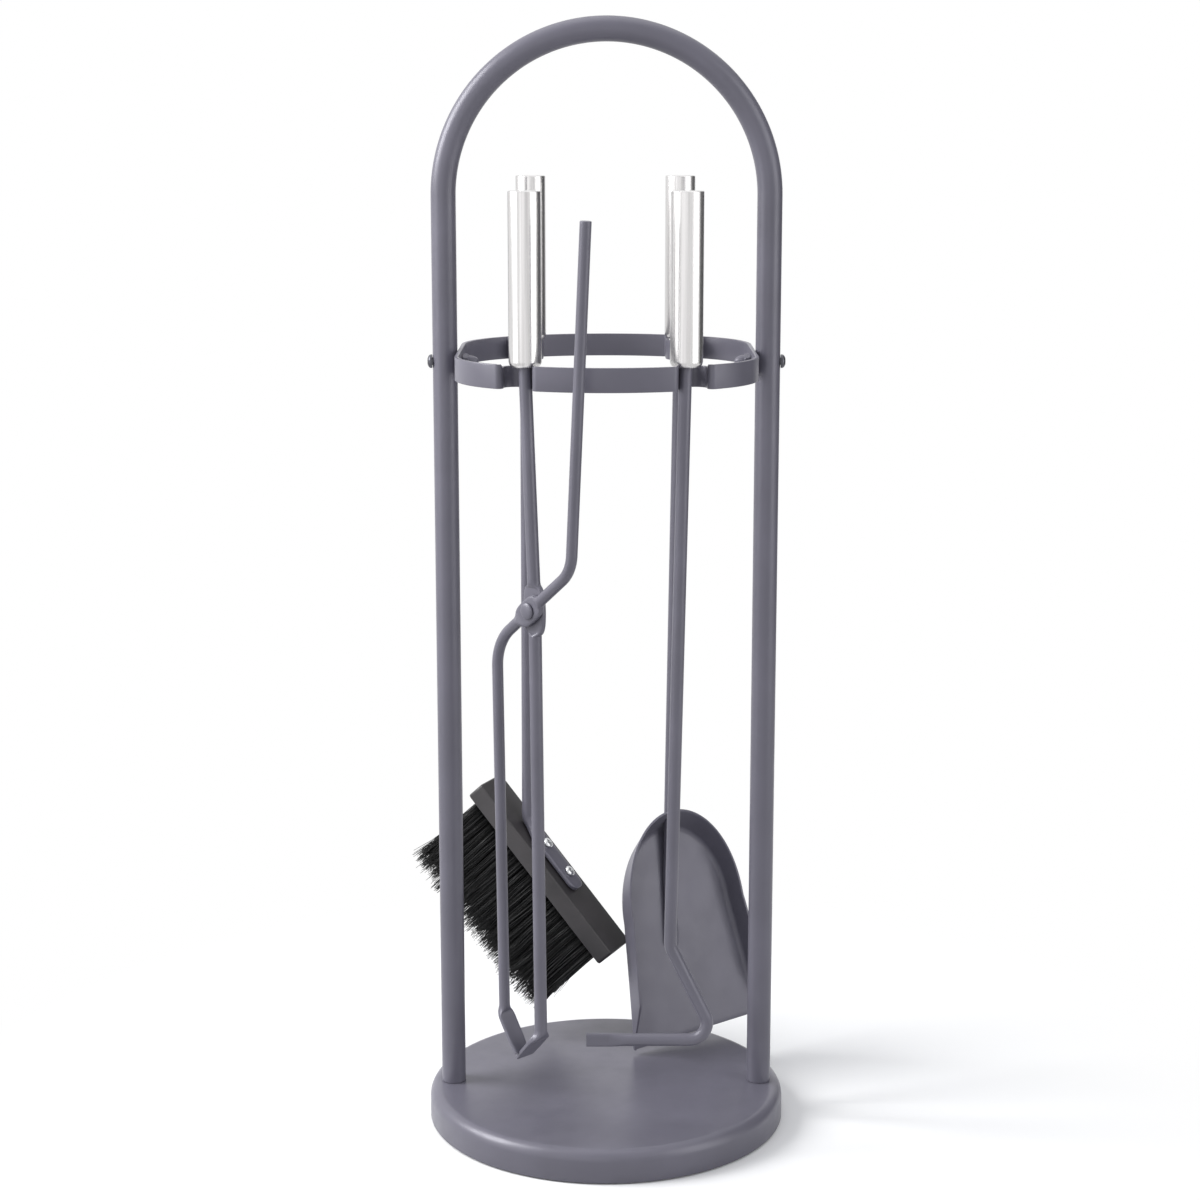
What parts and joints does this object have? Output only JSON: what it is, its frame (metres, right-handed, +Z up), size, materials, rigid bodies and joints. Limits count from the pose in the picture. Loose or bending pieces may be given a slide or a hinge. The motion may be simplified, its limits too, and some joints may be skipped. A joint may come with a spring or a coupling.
{
  "type": "fireplace tool set",
  "caption": "Fireplace tool set: a round weighted base, a hoop stand with a slotted ring rack, and a poker, tongs, shovel and brush that lift off it.",
  "frame": {"origin": "centre of the round base, on the floor it stands on", "axes": "+Z up the stand, +X to the right of the poker's and tongs' side seen from the front, -Y towards the front, where the poker and the tongs hang"},
  "size_m": [0.2025, 0.2248, 0.5795],
  "materials": {
    "slate_paint": "satin slate-grey baked enamel",
    "stainless": "polished stainless tube",
    "zinc": "bright zinc plate",
    "dark_steel": "blackened steel",
    "cast_iron": "as cast",
    "black_plastic": "moulded, matt",
    "pad_rubber": "soft foam rubber",
    "bristle_fibre": "stiff black fibre"
  },
  "bodies": {
    "stand": {"base_shell": "slate_paint", "base_weight": "cast_iron", "base_bottom_plate": "dark_steel", "base_pad": "pad_rubber", "hoop_tube": "slate_paint", "leg_insert_left": "dark_steel", "leg_insert_right": "dark_steel", "leg_screw_left": "zinc", "leg_screw_right": "zinc", "ring_bolt_left": "dark_steel", "ring_bolt_right": "dark_steel", "ring_nut_left": "slate_paint", "ring_nut_right": "slate_paint", "ring_strip": "slate_paint"},
    "poker": {"poker_handle": "stainless", "poker_handle_bush": "stainless", "poker_rod": "slate_paint"},
    "tongs": {"tongs_handle": "stainless", "tongs_handle_bush": "stainless", "tongs_main_arm": "slate_paint", "tongs_rivet": "slate_paint"},
    "tongs_arm": {"tongs_free_arm": "slate_paint"},
    "shovel": {"shovel_handle": "stainless", "shovel_handle_bush": "stainless", "shovel_rod": "slate_paint", "shovel_pan": "slate_paint", "shovel_rivet_upper": "slate_paint", "shovel_rivet_lower": "slate_paint"},
    "brush": {"brush_handle": "stainless", "brush_handle_bush": "stainless", "brush_rod": "slate_paint", "brush_block": "black_plastic", "brush_bristles": "bristle_fibre", "brush_screw_upper": "zinc", "brush_screw_lower": "zinc"}
  },
  "joints": [
    {"name": "poker_lift", "type": "slide", "parent": "stand", "child": "poker", "axis": [0.203, -0.386, 0.8999], "range_m": [0, 0.25]},
    {"name": "tongs_lift", "type": "slide", "parent": "stand", "child": "tongs", "axis": [-0.203, -0.386, 0.8999], "range_m": [0, 0.25]},
    {"name": "shovel_lift", "type": "slide", "parent": "stand", "child": "shovel", "axis": [0.203, 0.386, 0.8999], "range_m": [0, 0.25]},
    {"name": "brush_lift", "type": "slide", "parent": "stand", "child": "brush", "axis": [-0.203, 0.386, 0.8999], "range_m": [0, 0.25]},
    {"name": "tongs_hinge", "type": "hinge", "parent": "tongs", "child": "tongs_arm", "pos_m": [-0.03523, -0.07832, 0.2938], "axis": [0.7193, 0.6947, 0], "range_deg": [0, 30]}
  ]
}
